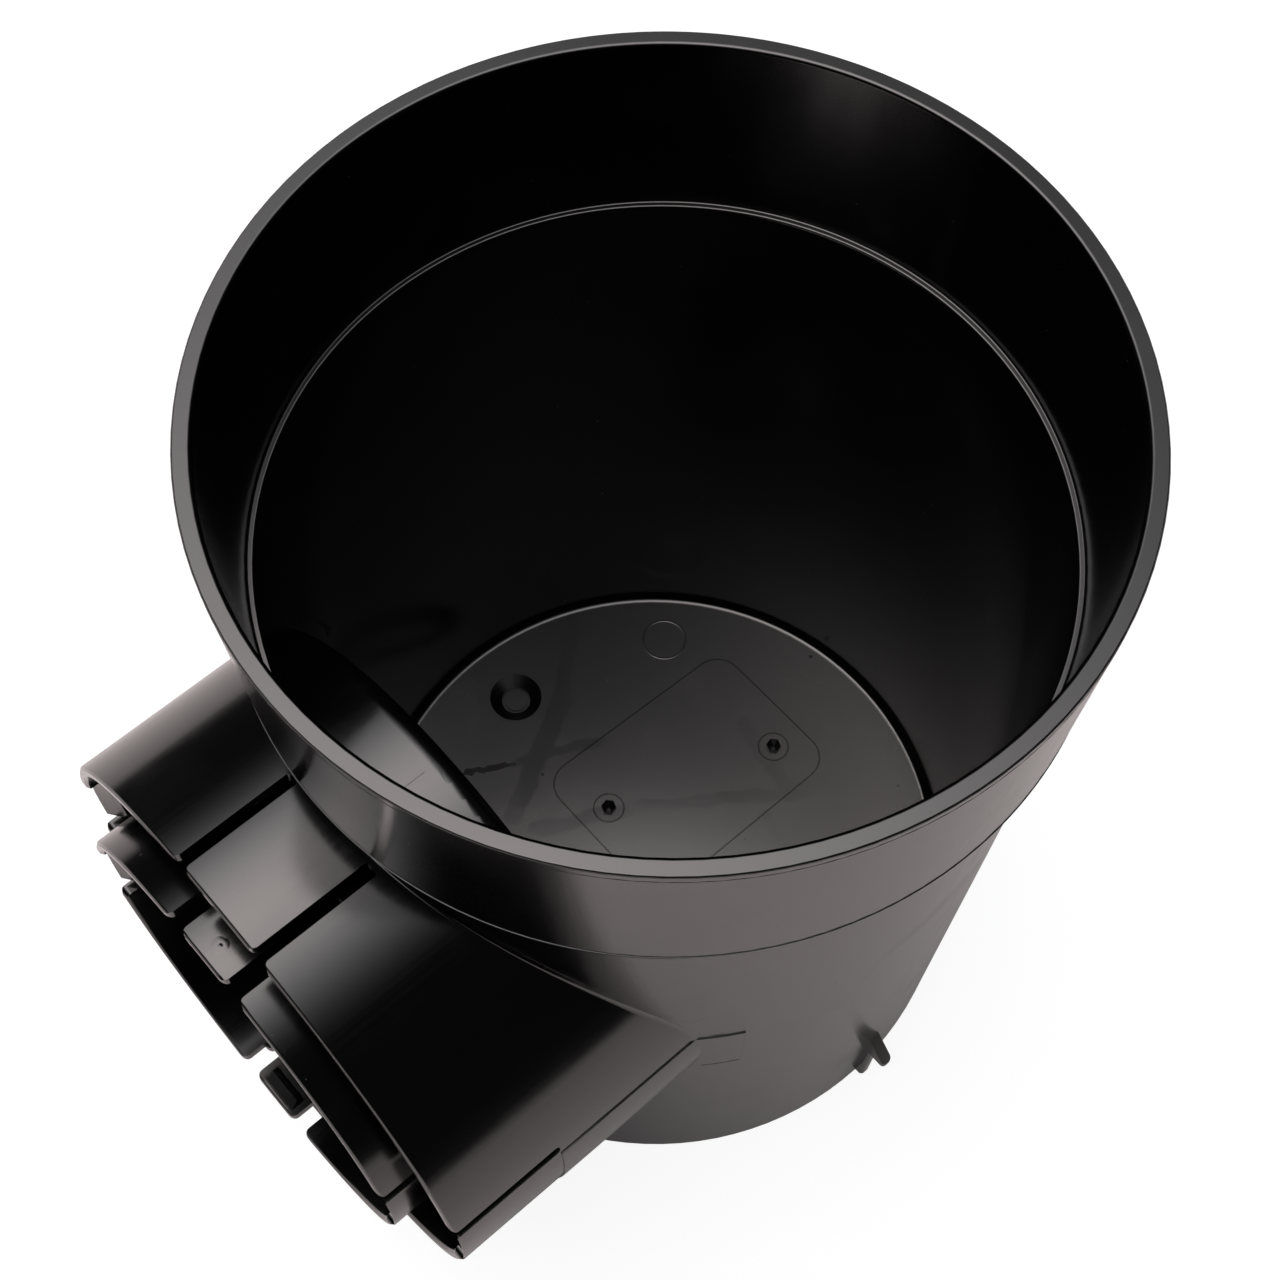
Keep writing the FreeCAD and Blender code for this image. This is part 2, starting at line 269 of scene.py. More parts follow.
class Nodes:
    """Short way to add and join the nodes of one material."""

    def __init__(self, tree):
        self.tree = tree

    def add(self, kind, settings=None, **values):
        node = self.tree.nodes.new("ShaderNode" + kind)
        for name, value in (settings or {}).items():
            setattr(node, name, value)
        for name, value in values.items():
            self.feed(node.inputs[name.replace("_", " ")], value)
        return node

    def feed(self, socket, value):
        if isinstance(value, bpy.types.NodeSocket):
            self.tree.links.new(value, socket)
        else:
            socket.default_value = value

    def math(self, operation, first, second=0.0, clamp=False):
        node = self.tree.nodes.new("ShaderNodeMath")
        node.operation, node.use_clamp = operation, clamp
        self.feed(node.inputs[0], first)
        self.feed(node.inputs[1], second)
        return node.outputs[0]

    def plus(self, total, value, share, clamp=False):
        """The total with a share of the value added."""
        return self.math("ADD", total, self.math("MULTIPLY", value, share), clamp)

    def noise(self, vector, scale, detail, distortion=0.0):
        node = self.add("TexNoise", Vector=vector, Scale=scale, Detail=detail, Distortion=distortion)
        return node.outputs["Fac"]

    def ramp(self, value, low, high, result_low=0.0, result_high=1.0):
        node = self.add("MapRange", {"interpolation_type": "SMOOTHSTEP"}, Value=value)
        limits = {"From Min": low, "From Max": high, "To Min": result_low, "To Max": result_high}
        for name, amount in limits.items():
            node.inputs[name].default_value = amount
        return node.outputs["Result"]

    def mapped(self, vector, scale=(1, 1, 1), rotation=(0, 0, 0), location=(0, 0, 0)):
        node = self.add("Mapping", Vector=vector, Scale=scale, Rotation=rotation, Location=location)
        return node.outputs[0]

    def mix(self, share, first, second):
        node = self.add("Mix", {"data_type": "RGBA"})
        self.feed(node.inputs["Factor"], share)
        self.feed(node.inputs[MIX_FIRST], first)
        self.feed(node.inputs[MIX_SECOND], second)
        return node.outputs[MIX_RESULT]

    def specks(self, place, cells, share, channel, edge, strength=1.0):
        """Round specks in a share of the cells, which one channel of their random colour picks."""
        cell = self.add("TexVoronoi", Vector=place, Scale=cells)
        lot = self.add("SeparateColor", Color=cell.outputs["Color"]).outputs[channel]
        picked = self.math("LESS_THAN", lot, share)
        return self.math("MULTIPLY", picked, self.ramp(cell.outputs["Distance"], *edge, strength, 0.0))


def plastic(name, roughness, streaks, waves, stains=None):
    """Black moulded plastic with a soft sheen, drawn streaks, faint waves, dust and rubbed patches.

    Streaks and waves are (scale along x, y, z per metre, share in the roughness, height). Stains adds the
    marks of one place, and returns how far each point is wiped and how far it is dulled.
    """
    material = bpy.data.materials.new(name)
    material.use_nodes = True
    nodes = Nodes(material.node_tree)
    shader = material.node_tree.nodes["Principled BSDF"]
    shader.inputs["IOR"].default_value = IOR
    shader.inputs["Specular IOR Level"].default_value = GLOSS
    place = nodes.add("TexCoord").outputs["Object"]

    streak_scale, streak_share, streak_height = streaks
    wave_scale, wave_share, wave_height = waves
    drawn = nodes.noise(nodes.mapped(place, streak_scale), 1.0, STREAK_DETAIL, STREAK_DISTORTION)
    swell = nodes.noise(nodes.mapped(place, wave_scale), 1.0, WAVE_DETAIL)
    rubbed = nodes.ramp(nodes.noise(place, RUB_SCALE, RUB_DETAIL, RUB_DISTORTION), *RUB_LIMITS)
    speck = nodes.specks(place, DUST_CELLS, DUST_SHARE, "Red", DUST_EDGE)
    wiped, dulled = stains(nodes, place) if stains else (0.0, 0.0)

    marks = nodes.math("MULTIPLY", rubbed, RUB_COVER)
    colour = nodes.mix(marks, (*BLACK, 1), (*CHALKY, 1))
    colour = nodes.mix(nodes.math("MULTIPLY", speck, DUST_COVER), colour, (*DUST, 1))
    nodes.feed(shader.inputs["Base Color"], colour)

    level = nodes.plus(roughness, nodes.math("SUBTRACT", drawn, NOISE_MIDDLE), streak_share)
    level = nodes.plus(level, nodes.math("SUBTRACT", swell, NOISE_MIDDLE), wave_share)
    level = nodes.plus(level, marks, RUB_DULLING)
    level = nodes.plus(level, wiped, -WIPE_POLISH)
    level = nodes.plus(level, dulled, SMEAR_DULLING)
    level = nodes.plus(level, speck, DUST_DULLING, clamp=True)
    nodes.feed(shader.inputs["Roughness"], level)

    fine = nodes.add("Bump", Height=drawn, Distance=streak_height, Strength=1.0)
    broad = nodes.add("Bump", Height=swell, Distance=wave_height, Strength=1.0, Normal=fine.outputs[0])
    nodes.feed(shader.inputs["Normal"], broad.outputs[0])
    return material


# Smear beside the hub, and the wiped bands that cross the floor: start, end and half the width
SMEAR_MM = ((20.9, -42.0), (11.5, -36.6), 0.75)
BANDS_MM = (
    ((11.5, -36.6), (-8.8, -27.1), 1.0),
    ((-23.4, -56.9), (-7.9, -41.4), 2.0),
    ((-7.9, -41.4), (19.6, -26.2), 2.4),
    ((17.5, -20.5), (-1.5, -10.6), 2.0),
    ((-1.5, -10.6), (-33.9, 11.7), 1.7),
    ((-35.6, -9.5), (-32.0, 10.1), 1.8),
    ((-32.0, 10.1), (-42.2, 15.3), 2.6),
    ((-23.7, 10.3), (-22.0, 24.0), 1.5),
)

# Their soft edges in half widths, their ragged outlines as noise scale and reach, and the bands' strength
STROKE_EDGE = (0.7, 1.1)
RAGGED_DETAIL = 5.0
SMEAR_RAGGED = (700.0, 2.6 * MM)
BAND_RAGGED = (140.0, 4.0 * MM)
BAND_SCALE, BAND_DETAIL = 90.0, 4.0
BAND_LIMITS, BAND_STRENGTH = (0.35, 0.6), (0.3, 1.0)


def shaken(nodes, place, scale, reach):
    """Places that are moved about a little, so that what is drawn with them has ragged edges."""
    wander = nodes.add("TexNoise", Vector=place, Scale=scale, Detail=RAGGED_DETAIL).outputs["Color"]
    moved = nodes.add("VectorMath", {"operation": "MULTIPLY_ADD"})
    nodes.feed(moved.inputs[0], wander)
    moved.inputs[1].default_value = (reach, reach, 0)
    nodes.feed(moved.inputs[2], place)
    return nodes.mapped(moved.outputs[0], location=(-reach / 2, -reach / 2, 0))


def stroke(nodes, place, start_mm, end_mm, half_mm):
    """Straight mark on the floor with round ends and soft edges."""
    start, end = Vector(start_mm) * MM, Vector(end_mm) * MM
    run = end - start
    away = nodes.mapped(place, location=(-start.x, -start.y, 0))
    turned = nodes.mapped(away, rotation=(0, 0, -math.atan2(run.y, run.x)))
    along, across, _ = nodes.add("SeparateXYZ", Vector=turned).outputs
    nearest = nodes.math("MINIMUM", nodes.math("MAXIMUM", along, 0.0), run.length)
    beyond = nodes.math("POWER", nodes.math("SUBTRACT", along, nearest), 2.0)
    aside = nodes.math("POWER", across, 2.0)
    gap = nodes.math("SQRT", nodes.math("ADD", beyond, aside))
    inner, outer = (half_mm * edge * MM for edge in STROKE_EDGE)
    return nodes.ramp(gap, inner, outer, 1.0, 0.0)


def floor_stains(nodes, place):
    """How far the floor is wiped, in long bands, and dulled, by a dark smear and small spots."""
    smear = stroke(nodes, shaken(nodes, place, *SMEAR_RAGGED), *SMEAR_MM)
    wavy = shaken(nodes, place, *BAND_RAGGED)
    wiped = 0.0
    for band in BANDS_MM:
        wiped = nodes.math("MAXIMUM", wiped, stroke(nodes, wavy, *band))
    patchy = nodes.ramp(nodes.noise(place, BAND_SCALE, BAND_DETAIL), *BAND_LIMITS, *BAND_STRENGTH)
    spot = nodes.specks(place, SPOT_CELLS, SPOT_SHARE, "Green", SPOT_EDGE, SPOT_DULLING)
    return nodes.math("MULTIPLY", wiped, patchy), nodes.math("MAXIMUM", spot, smear)


# Finish of each place, as plastic() takes it
WALL_ROUGHNESS, HUB_ROUGHNESS, FLOOR_ROUGHNESS = 0.17, 0.16, 0.24
WALL_STREAKS = ((700, 700, 25), 0.03, 0.25e-6)
WALL_WAVES = ((60, 60, 12), 0.02, 14e-6)
HUB_STREAKS = ((40, 1500, 1500), 0.11, 1.2e-6)
HUB_WAVES = ((25, 90, 90), 0.03, 8e-6)
FLOOR_STREAKS = ((500, 500, 500), 0.03, 0.2e-6)
FLOOR_WAVES = ((45, 45, 45), 0.03, 10e-6)
wall_plastic = plastic("wall_plastic", WALL_ROUGHNESS, WALL_STREAKS, WALL_WAVES)
hub_plastic = plastic("hub_plastic", HUB_ROUGHNESS, HUB_STREAKS, HUB_WAVES)
floor_plastic = plastic("floor_plastic", FLOOR_ROUGHNESS, FLOOR_STREAKS, FLOOR_WAVES, floor_stains)


def link(obj):
    """Puts an object in the scene."""
    bpy.context.scene.collection.objects.link(obj)
    return obj


def carried(obj):
    """Lets a piece move with the basin."""
    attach(obj, BODY)
    return obj


def on_hub(x, turn, radius):
    """Point of the hub at an angle from its top towards +Y, and the way out from its axis."""
    out = Vector((0, math.sin(turn), math.cos(turn)))
    return Vector((x, 0, hub_height)) + out * radius, out


def swept(sections_of_each):
    """Closed mesh of several bodies, each skinned over its closed sections and capped."""
    points, faces = [], []
    for sections in sections_of_each:
        start, count = len(points), len(sections[0])
        for section in sections:
            points.extend(tuple(point) for point in section)
        for row in range(len(sections) - 1):
            first = start + row * count
            for step in range(count):
                after = (step + 1) % count
                faces.append((first + step, first + after, first + count + after, first + count + step))
        last = start + (len(sections) - 1) * count
        faces.append(tuple(start + step for step in reversed(range(count))))
        faces.append(tuple(last + step for step in range(count)))
    mesh = bpy.data.meshes.new("cutter")
    mesh.from_pydata(points, [], faces)
    facing = bmesh.new()
    facing.from_mesh(mesh)
    bmesh.ops.recalc_face_normals(facing, faces=facing.faces)
    facing.to_mesh(mesh)
    facing.free()
    return mesh


def side_slots():
    """Cutters for the slots under the side tabs."""
    cutters = []
    low = hub_height - SIDE_SLOT_RISE - SIDE_SLOT / 2
    high = hub_height - SIDE_SLOT_RISE + SIDE_SLOT / 2
    for bore, outer, end in hub_rings:
        for side in (-1, 1):
            inner, beyond = side * (bore - CUT_DEPTH), side * (outer + CUT_MARGIN)
            outline = ((inner, low), (beyond, low), (beyond, high), (inner, high))
            cutters.append([[Vector((x, y, z)) for y, z in outline]
                            for x in (end - SLOT_LENGTH, end + CUT_MARGIN)])
    return swept(cutters)


def tab_ends():
    """Cutters that slant the side tabs' ends, so that a pipe slides in."""
    cutters = []
    for bore, outer, end in hub_rings:
        inner, beyond = bore - CUT_MARGIN, outer + CUT_MARGIN
        half = math.asin(SIDE_SLOT_RISE / outer)
        for side, setback in TAB_SETBACKS:
            lip, clear = end - setback, end + 2 * CUT_MARGIN
            profile = ((lip - (outer - inner) * TAB_SLANT, inner), (lip + CUT_MARGIN * TAB_SLANT, beyond),
                       (clear, beyond), (clear, inner))
            middle = side * math.pi / 2
            turns = [middle + half * (2 * step / CUT_STEPS - 1) for step in range(CUT_STEPS + 1)]
            cutters.append([[on_hub(x, turn, radius)[0] for x, radius in profile] for turn in turns])
    return swept(cutters)


def corner_outline(end, edge, toward):
    """Outline of what rounds the corner of a ring's end and an edge beside a slot, along X and across."""
    arc = []
    for step in range(CORNER_STEPS + 1):
        turn = math.pi / 2 * step / CORNER_STEPS
        back, aside = CORNER_ROUND * (1 - math.sin(turn)), CORNER_ROUND * (1 - math.cos(turn))
        arc.append((end - back, edge - toward * aside))
    clear = edge + toward * CUT_MARGIN
    return arc + [(end + CUT_MARGIN, arc[-1][1]), (end + CUT_MARGIN, clear), (arc[0][0], clear)]


def through_top_and_bottom(outline, depths):
    """Two cutters that go up and down through a ring, from an outline along X and Y."""
    return [[[Vector((x, y, hub_height + face * depth)) for x, y in outline] for depth in depths]
            for face in (-1, 1)]


def through_sides(outline, depths):
    """Two cutters that go sideways through a ring, from an outline along X and Z."""
    return [[[Vector((x, face * depth, hub_height + z)) for x, z in outline] for depth in depths]
            for face in (-1, 1)]


def tab_corners():
    """Cutters that round the corners of the tabs and shells beside the slots' mouths."""
    cutters = []
    shell = SIDE_SLOT_RISE + SIDE_SLOT / 2
    for (bore, outer, end), (tab, slot) in zip(hub_rings, hub_tabs):
        depths = (bore - CUT_DEPTH, outer + CUT_MARGIN)
        for side in (-1, 1):
            for edge, toward in ((tab / 2, 1), (tab / 2 + slot, -1)):
                outline = corner_outline(end, side * edge, side * toward)
                cutters.extend(through_top_and_bottom(outline, depths))
            cutters.extend(through_sides(corner_outline(end, side * shell, -side), depths))
    return swept(cutters)


def slot_roots():
    """Cutters that square the roots of the slots beside the small ring's top and bottom tabs."""
    cutters = []
    (bore, outer, end), (tab, slot) = hub_rings[1], hub_tabs[1]
    root = end - SLOT_LENGTH - ROOT_RELIEF
    depths = (bore - CUT_DEPTH, outer + CUT_MARGIN)
    for side in (-1, 1):
        near, far = side * (tab / 2 - ROOT_RELIEF), side * (tab / 2 + slot + ROOT_RELIEF)
        outline = ((root, near), (root + CUT_MARGIN, near), (root + CUT_MARGIN, far), (root, far))
        cutters.extend(through_top_and_bottom(outline, depths))
    return swept(cutters)


def cut(mesh, cutter):
    """The mesh with the cutter taken out of it."""
    whole = link(bpy.data.objects.new("whole", mesh))
    tool = link(bpy.data.objects.new("tool", cutter))
    taken = whole.modifiers.new("taken", "BOOLEAN")
    taken.object, taken.operation, taken.solver = tool, "DIFFERENCE", "EXACT"
    graph = bpy.context.evaluated_depsgraph_get()
    result = bpy.data.meshes.new_from_object(whole.evaluated_get(graph))
    bpy.data.objects.remove(whole)
    bpy.data.objects.remove(tool)
    return result


def welded(mesh):
    """Joins the mesh's doubled points, and leaves only triangles."""
    joined = bmesh.new()
    joined.from_mesh(mesh)
    bmesh.ops.remove_doubles(joined, verts=joined.verts, dist=WELD)
    bmesh.ops.dissolve_degenerate(joined, edges=joined.edges, dist=WELD)
    bmesh.ops.triangulate(joined, faces=joined.faces)
    joined.to_mesh(mesh)
    joined.free()
    return mesh


def moulding():
    """The basin itself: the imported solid, with the side tabs cut free and the tabs' corners rounded."""
    mesh = welded(frame["nodes"][NODE].data.copy())
    for cutter in (side_slots(), tab_ends(), tab_corners(), slot_roots()):
        mesh = cut(mesh, cutter)
    mesh = welded(mesh)
    mesh.name = "moulded_basin"
    in_hub, on_floor = shade_moulding(mesh)
    mesh.materials.clear()
    finishes = (wall_plastic, hub_plastic, floor_plastic)
    for material in finishes:
        mesh.materials.append(material)
    wall, hub, floor = range(len(finishes))
    mesh.polygons.foreach_set("material_index", np.where(in_hub, hub, np.where(on_floor, floor, wall)))
    basin = link(bpy.data.objects.new("moulded_basin", mesh))
    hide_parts(NODE)
    carried(basin)


# Mould marks: a mark's edge is sunk, so that no gap shows under it
SINK = 0.02 * MM

# Width and height of the marks that are low ridges, and the share of the width that is flat on top
FLOOR_LINE_MM = (0.36, 0.09)
PIN_LINE_MM = (0.6, 0.035)
WITNESS_LINE_MM = (0.14, 0.04)
PAD_LINE_MM = (0.16, 0.04)
RIDGE_CROWN = 0.3

# Marks of the floor: the hexagon's levels are the share of its radius, and the height
PIN_CENTRE_MM, PIN_RADIUS_MM = (-36.2, -37.8), 5.0
SCREW_CENTRES_MM = ((1.8, -13.8), (-36.9, -0.5))
SCREW_RADIUS_MM = 3.45
HEX_SIDES, HEX_TURN = 6, math.radians(12)
HEX_RADIUS_MM = 1.7
HEX_LEVELS_MM = ((1.0, -0.02), (1.0, 0.9), (0.9, 1.0), (0.0, 0.02))
PLATE_CORNERS_MM = ((8.9, -28.8), (-44.2, -27.0), (-44.8, 10.4), (8.7, 10.4))
PLATE_CORNER_ROUND_MM, PLATE_CORNER_STEPS = 6.0, 8
RING_STEPS = 96

# Marks of the hub: the gate's levels are radius and height, and a lock's are places along X and height.
# A side lock is measured from the foot of its tab's slant.
WITNESS_TURN = math.radians(3.2)
WITNESS_SPAN_MM = (55.6, 68.4)
GATE_PLACE_MM, GATE_TURN = 97.7, math.radians(0.8)
GATE_STEPS = 24
GATE_MM = ((2.4, -0.07), (2.0, -0.035), (1.6, -0.005), (1.2, 0.015), (0.8, 0.02), (0.55, 0.015),
           (0.38, 0.02), (0.25, 0.045), (0.12, 0.08), (0.0, 0.085))
LOCK_SPAN = math.radians(6.2)
LOCK_STEPS, LOCK_FADE = 16, 0.08
LOCK_MM = ((100.2, 0.0), (98.3, 0.95), (97.4, 0.85), (96.9, 0.0))
SIDE_LOCK_MM = ((0.0, 0.0), (0.75, 0.95), (1.35, 0.85), (1.95, 0.0))

# Marks of the wall: a band's levels are the height above its place and the depth out of the collar's face
PARTING_DROP = 2.0 * MM
PARTING_MM = ((0.1, -0.02), (0.03, 0.03), (-0.03, 0.03), (-0.1, -0.02))
FOOT_BEAD_MM = ((1.15, -0.02), (1.1, 0.12), (0.1, -0.02))
LEDGE_RADIUS, LEDGE_FILLET = 70.54 * MM, 0.5 * MM
FILLET_STEPS = 6
PAD_STEPS = 4


class Marks:
    """Mesh of small raised marks that is filled step by step."""

    def __init__(self):
        self.points = []
        self.faces = []

    def strip(self, sections, outward, closed_along=False):
        """Skin over cross sections of equal length, whose first face looks the given way."""
        count = len(sections[0])
        across, along = sections[0][1] - sections[0][0], sections[1][0] - sections[0][0]
        turned = across.cross(along).dot(outward) < 0
        start = len(self.points)
        for section in sections:
            self.points.extend(section)
        rows = len(sections)
        for row in range(rows if closed_along else rows - 1):
            after = (row + 1) % rows
            for step in range(count - 1):
                face = (start + row * count + step, start + row * count + step + 1,
                        start + after * count + step + 1, start + after * count + step)
                self.faces.append(face[::-1] if turned else face)

    def ridge(self, path, ups, width_mm, height_mm, closed=False):
        """Low ridge along a path that lies on a surface with the given outward directions."""
        sections = []
        for index, (point, up) in enumerate(zip(path, ups)):
            before = path[index - 1] if index or closed else point
            after = path[(index + 1) % len(path)] if closed or index + 1 < len(path) else point
            side = up.cross(after - before).normalized() * (width_mm * MM / 2)
            crown, top = side * RIDGE_CROWN, up * height_mm * MM
            sections.append([point + side - up * SINK, point + crown + top,
                             point - crown + top, point - side - up * SINK])
        self.strip(sections, ups[0], closed)

    def piece(self, name, material, smooth=False):
        """The marks as one piece of the basin."""
        mesh = bpy.data.meshes.new(name)
        mesh.from_pydata([tuple(point) for point in self.points], [], self.faces)
        mesh.materials.append(material)
        joined = bmesh.new()
        joined.from_mesh(mesh)
        bmesh.ops.remove_doubles(joined, verts=joined.verts, dist=WELD)
        joined.to_mesh(mesh)
        joined.free()
        if smooth:
            mesh.shade_smooth()
        return carried(link(bpy.data.objects.new(name, mesh)))


def turn_about(centre, radius, steps, level, start=0.0):
    """Points of a level circle or regular polygon."""
    return [Vector((centre[0] + radius * math.cos(start + 2 * math.pi * step / steps),
                    centre[1] + radius * math.sin(start + 2 * math.pi * step / steps), level))
            for step in range(steps)]


def rounded_outline(corners, radius, level):
    """Points of a level polygon with rounded corners."""
    points = []
    for index, corner in enumerate(corners):
        here = Vector((*corner, level))
        back = (Vector((*corners[index - 1], level)) - here).normalized()
        ahead = (Vector((*corners[(index + 1) % len(corners)], level)) - here).normalized()
        half = back.angle(ahead) / 2
        centre = here + (back + ahead).normalized() * radius / math.sin(half)
        first = here + back * radius / math.tan(half) - centre
        last = here + ahead * radius / math.tan(half) - centre
        for step in range(PLATE_CORNER_STEPS + 1):
            points.append(centre + first.slerp(last, step / PLATE_CORNER_STEPS) * radius)
    return points


def floor_marks():
    """Insert outline, ejector ring and screw heads that the mould leaves in the floor."""
    marks = Marks()
    up = Vector((0, 0, 1))
    corners = [(x * MM, y * MM) for x, y in PLATE_CORNERS_MM]
    outline = rounded_outline(corners, PLATE_CORNER_ROUND_MM * MM, FLOOR_TOP)
    marks.ridge(outline, [up] * len(outline), *FLOOR_LINE_MM, closed=True)
    pin = turn_about([value * MM for value in PIN_CENTRE_MM], PIN_RADIUS_MM * MM, RING_STEPS, FLOOR_TOP)
    marks.ridge(pin, [up] * len(pin), *PIN_LINE_MM, closed=True)
    for screw in SCREW_CENTRES_MM:
        centre = [value * MM for value in screw]
        ring = turn_about(centre, SCREW_RADIUS_MM * MM, RING_STEPS, FLOOR_TOP)
        marks.ridge(ring, [up] * len(ring), *FLOOR_LINE_MM, closed=True)
        sections = []
        for share, height in HEX_LEVELS_MM:
            radius, level = HEX_RADIUS_MM * share * MM, FLOOR_TOP + height * MM
            corners = turn_about(centre, radius, HEX_SIDES, level, HEX_TURN)
            sections.append(corners + corners[:1])
        marks.strip(sections, sections[0][0] - Vector((*centre, FLOOR_TOP)))
    marks.piece("floor_marks", floor_plastic)


def gate_scar():
    """Soft dimple with a small nub, where the plastic was let into the mould."""
    marks = Marks()
    centre, out = on_hub(GATE_PLACE_MM * MM, GATE_TURN, small_outer)
    lengthwise = Vector((1, 0, 0))
    across = out.cross(lengthwise)
    sections = []
    for radius, height in GATE_MM:
        section = []
        for step in range(GATE_STEPS + 1):
            turn = 2 * math.pi * step / GATE_STEPS
            aside = lengthwise * math.cos(turn) + across * math.sin(turn)
            spot = centre + aside * radius * MM
            axis_point = Vector((spot.x, 0, hub_height))
            arm = (spot - axis_point).normalized()
            section.append(axis_point + arm * (small_outer + height * MM))
        sections.append(section)
    marks.strip(sections, out)
    marks.piece("gate_scar", hub_plastic, smooth=True)


def lock_ridge(marks, middle, half_span, bore, profile_mm):
    """Ridge across the inside of a tab that grips the pipe, lower towards its two ends."""
    sections = []
    for step in range(LOCK_STEPS + 1):
        share = step / LOCK_STEPS * 2 - 1
        fade = min(1.0, (1 - abs(share)) / LOCK_FADE)
        turn = middle + half_span * share
        sections.append([on_hub(x * MM, turn, bore + SINK - height * fade * MM)[0]
                         for x, height in profile_mm])
    marks.strip(sections, -on_hub(0.0, middle - half_span, bore)[1])


def hub_marks():
    """Witness line and locking ridges of the hub."""
    marks = Marks()
    line = [on_hub(x * MM, WITNESS_TURN, large_outer) for x in WITNESS_SPAN_MM]
    marks.ridge([point for point, _ in line], [out for _, out in line], *WITNESS_LINE_MM)

    lock_ridge(marks, math.pi, LOCK_SPAN, small_bore, LOCK_MM)
    for bore, outer, end in hub_rings:
        half = math.asin((SIDE_SLOT_RISE - SIDE_SLOT / 2) / bore)
        for side, setback in TAB_SETBACKS:
            foot = (end - setback - (outer - bore) * TAB_SLANT) / MM
            profile = [(foot - run, height) for run, height in SIDE_LOCK_MM]
            lock_ridge(marks, side * math.pi / 2, half, bore, profile)
    marks.piece("hub_marks", hub_plastic)


def collar_band(marks, level, profile_mm):
    """Low band round the outside of the collar."""
    sections = []
    for rise_mm, out_mm in profile_mm:
        height = level + rise_mm * MM
        radius = RIM_RADIUS - (rim_top - height) * math.tan(COLLAR_TAPER) + out_mm * MM
        ring = turn_about((0, 0), radius, 2 * RING_STEPS, height)
        sections.append(ring + ring[:1])
    marks.strip(sections, Vector((1, 0, 0)))


def ledge_fillet():
    """Small hollow rounding in the corner where the grate's ledge meets the collar."""
    marks = Marks()
    sections = []
    for step in range(FILLET_STEPS + 1):
        turn = math.pi / 2 * step / FILLET_STEPS
        radius = LEDGE_RADIUS + SINK - LEDGE_FILLET * (1 - math.sin(turn))
        height = ledge_top - SINK + LEDGE_FILLET * (1 - math.cos(turn))
        ring = turn_about((0, 0), radius, 2 * RING_STEPS, height)
        sections.append(ring + ring[:1])
    marks.strip(sections, Vector((0, 0, 1)))
    marks.piece("ledge_fillet", wall_plastic, smooth=True)


def wall_marks():
    """Fine lines of the mould: under the rim, at the collar's foot, and round the pad beside the hub."""
    marks = Marks()
    collar_band(marks, rim_top - PARTING_DROP, PARTING_MM)
    collar_band(marks, COLLAR_FOOT, FOOT_BEAD_MM)
    corners = ((PAD_END, PAD_TOP), (PAD_END, PAD_BOTTOM), (PAD_ROOT, PAD_BOTTOM))
    for (turn, level), (next_turn, next_level) in zip(corners, corners[1:]):
        path, ups = [], []
        for step in range(PAD_STEPS + 1):
            share = step / PAD_STEPS
            here, height = turn + (next_turn - turn) * share, level + (next_level - level) * share
            up = Vector((math.cos(here), math.sin(here), 0))
            radius = BODY_TOP_RADIUS - (BODY_TOP - height) * math.tan(BODY_TAPER) + SEAM_STEP
            path.append(up * radius + Vector((0, 0, height)))
            ups.append(up)
        marks.ridge(path, ups, *PAD_LINE_MM)
    marks.piece("wall_marks", wall_plastic)


# Studio: the floor's glow is its own light, in view and in reflections
FLOOR_LOW = (-0.9, -0.9)
FLOOR_HIGH = (0.6, 0.32)
FLOOR_DROP = 0.2 * MM
FLOOR_COLOUR = (0.86, 0.80, 0.79)
FLOOR_SEEN_COLOUR = (0.20, 0.21, 0.21)
FLOOR_SEEN_GLOW = 0.9
FLOOR_REFLECTED_GLOW = 0.06
WORLD_LEVEL = 0.024
LAMP_AIM = Vector((0.0, 0.0, 0.10))
LAMP_DIRECTION = Vector((0.08, -0.20, 0.98))
LAMP_DISTANCE = 1.2
LAMP_SIZE = (2.8, 2.7)
LAMP_FADE = (0.68, 0.65)
LAMP_RADIANCE = 5.6
LAMP_TINT = (1.0, 0.91, 0.89)
LAMP_FRINGE_TINT = (0.92, 0.93, 0.96)


def studio_floor():
    """Pale floor that is near white in view, pale in reflections, and still takes the shadow."""
    low, high = FLOOR_LOW, FLOOR_HIGH
    mesh = bpy.data.meshes.new("studio_floor")
    mesh.from_pydata([(low[0], low[1], -FLOOR_DROP), (high[0], low[1], -FLOOR_DROP),
                      (high[0], high[1], -FLOOR_DROP), (low[0], high[1], -FLOOR_DROP)], [], [(0, 1, 2, 3)])
    material = bpy.data.materials.new("studio_floor")
    material.use_nodes = True
    nodes = Nodes(material.node_tree)
    material.node_tree.nodes.remove(material.node_tree.nodes["Principled BSDF"])
    path = nodes.add("LightPath").outputs
    colour = nodes.mix(path["Is Camera Ray"], (*FLOOR_COLOUR, 1), (*FLOOR_SEEN_COLOUR, 1))
    glow = nodes.math("ADD", nodes.math("MULTIPLY", path["Is Camera Ray"], FLOOR_SEEN_GLOW),
                      nodes.math("MULTIPLY", path["Is Glossy Ray"], FLOOR_REFLECTED_GLOW))
    lit = nodes.add("AddShader")
    nodes.feed(lit.inputs[0], nodes.add("BsdfDiffuse", Color=colour).outputs[0])
    nodes.feed(lit.inputs[1], nodes.add("Emission", Strength=glow).outputs[0])
    nodes.feed(material.node_tree.nodes["Material Output"].inputs["Surface"], lit.outputs[0])
    mesh.materials.append(material)
    link(bpy.data.objects.new("studio_floor", mesh))


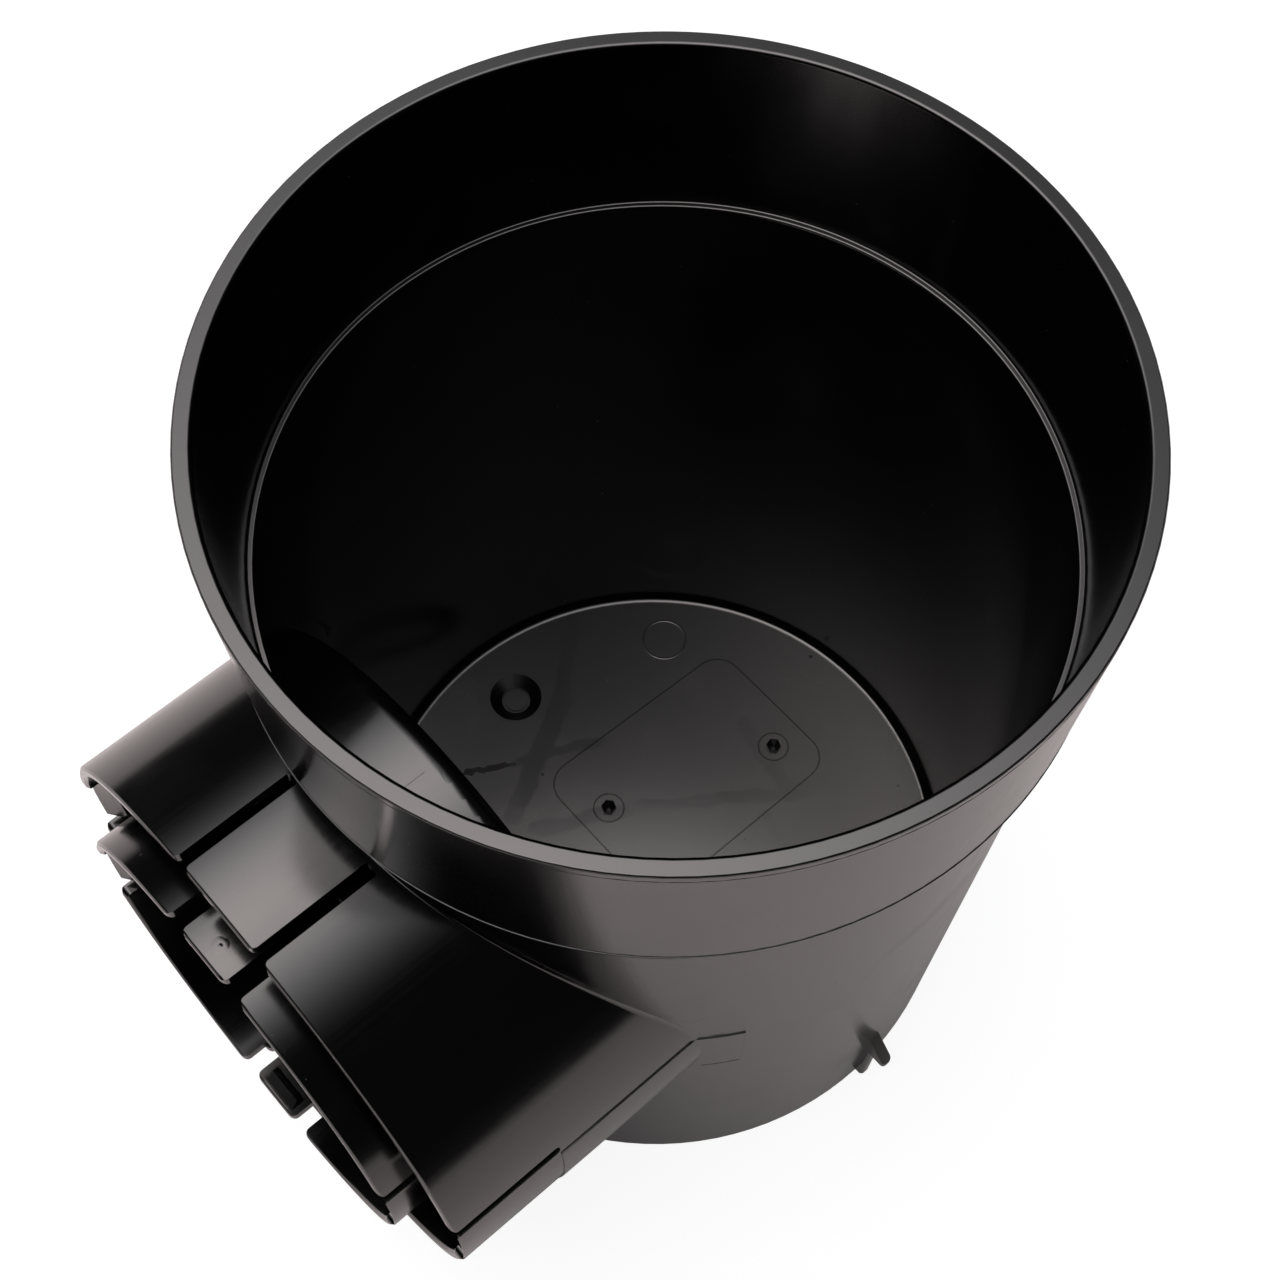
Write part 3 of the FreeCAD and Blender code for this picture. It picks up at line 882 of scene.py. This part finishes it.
def studio_world():
    """Dark room, white behind the object."""
    world = bpy.data.worlds.new("studio_world")
    bpy.context.scene.world = world
    world.use_nodes = True
    nodes = Nodes(world.node_tree)
    seen = nodes.add("LightPath").outputs["Is Camera Ray"]
    room = world.node_tree.nodes["Background"]
    nodes.feed(room.inputs["Color"], nodes.mix(seen, (WORLD_LEVEL,) * 3 + (1,), (1, 1, 1, 1)))


def softbox():
    """Large soft lamp above the basin, warm and brightest in its middle, and cooler to its edges."""
    lamp = bpy.data.lights.new("softbox", "AREA")
    lamp.shape = "RECTANGLE"
    lamp.size, lamp.size_y = LAMP_SIZE
    lamp.energy = LAMP_RADIANCE * math.pi * LAMP_SIZE[0] * LAMP_SIZE[1]
    lamp.use_nodes = True
    nodes = Nodes(lamp.node_tree)
    spread = [size / fade for size, fade in zip(LAMP_SIZE, LAMP_FADE)]
    spot = nodes.add("NewGeometry").outputs["Parametric"]
    centred = nodes.mapped(spot, scale=(*spread, 0), location=(-spread[0] / 2, -spread[1] / 2, 0))
    square = nodes.add("VectorMath", {"operation": "DOT_PRODUCT"})
    nodes.feed(square.inputs[0], centred)
    nodes.feed(square.inputs[1], centred)
    fade = nodes.math("POWER", math.exp(-1), square.outputs["Value"])
    glow = lamp.node_tree.nodes["Emission"]
    nodes.feed(glow.inputs["Color"], nodes.mix(fade, (*LAMP_FRINGE_TINT, 1), (*LAMP_TINT, 1)))
    nodes.feed(glow.inputs["Strength"], fade)
    box = link(bpy.data.objects.new("softbox", lamp))
    toward = LAMP_DIRECTION.normalized()
    box.location = LAMP_AIM + toward * LAMP_DISTANCE
    box.rotation_euler = (-toward).to_track_quat("-Z", "Y").to_euler()


# Camera, fitted to the photograph's rim, ledge, floor and rings
CAMERA_PLACE = Vector((125.86 * MM, 133.59 * MM, 466.88 * MM))
CAMERA_HEADING = math.radians(227.999)
CAMERA_PITCH = math.radians(62.874)
CAMERA_ROLL = math.radians(-0.994)
CAMERA_FOCAL_PIXELS = 2182.9
IMAGE_PIXELS = 1280
SENSOR_MM = 36.0


def photo_camera():
    """Camera at the photograph's viewing angle."""
    data = bpy.data.cameras.new("photo_camera")
    data.sensor_width = SENSOR_MM
    data.lens = CAMERA_FOCAL_PIXELS / IMAGE_PIXELS * SENSOR_MM
    camera = link(bpy.data.objects.new("photo_camera", data))
    level = Vector((math.sin(CAMERA_HEADING), -math.cos(CAMERA_HEADING), 0))
    sight = Vector((math.cos(CAMERA_HEADING) * math.cos(CAMERA_PITCH),
                    math.sin(CAMERA_HEADING) * math.cos(CAMERA_PITCH), -math.sin(CAMERA_PITCH)))
    down = sight.cross(level)
    right = level * math.cos(CAMERA_ROLL) + down * math.sin(CAMERA_ROLL)
    up = level * math.sin(CAMERA_ROLL) - down * math.cos(CAMERA_ROLL)
    turn = Matrix((right, up, -sight)).transposed()
    camera.matrix_world = Matrix.Translation(CAMERA_PLACE) @ turn.to_4x4()
    bpy.context.scene.camera = camera


moulding()
floor_marks()
hub_marks()
gate_scar()
ledge_fillet()
wall_marks()
studio_floor()
studio_world()
softbox()
photo_camera()
bpy.context.scene.view_settings.view_transform = "Standard"
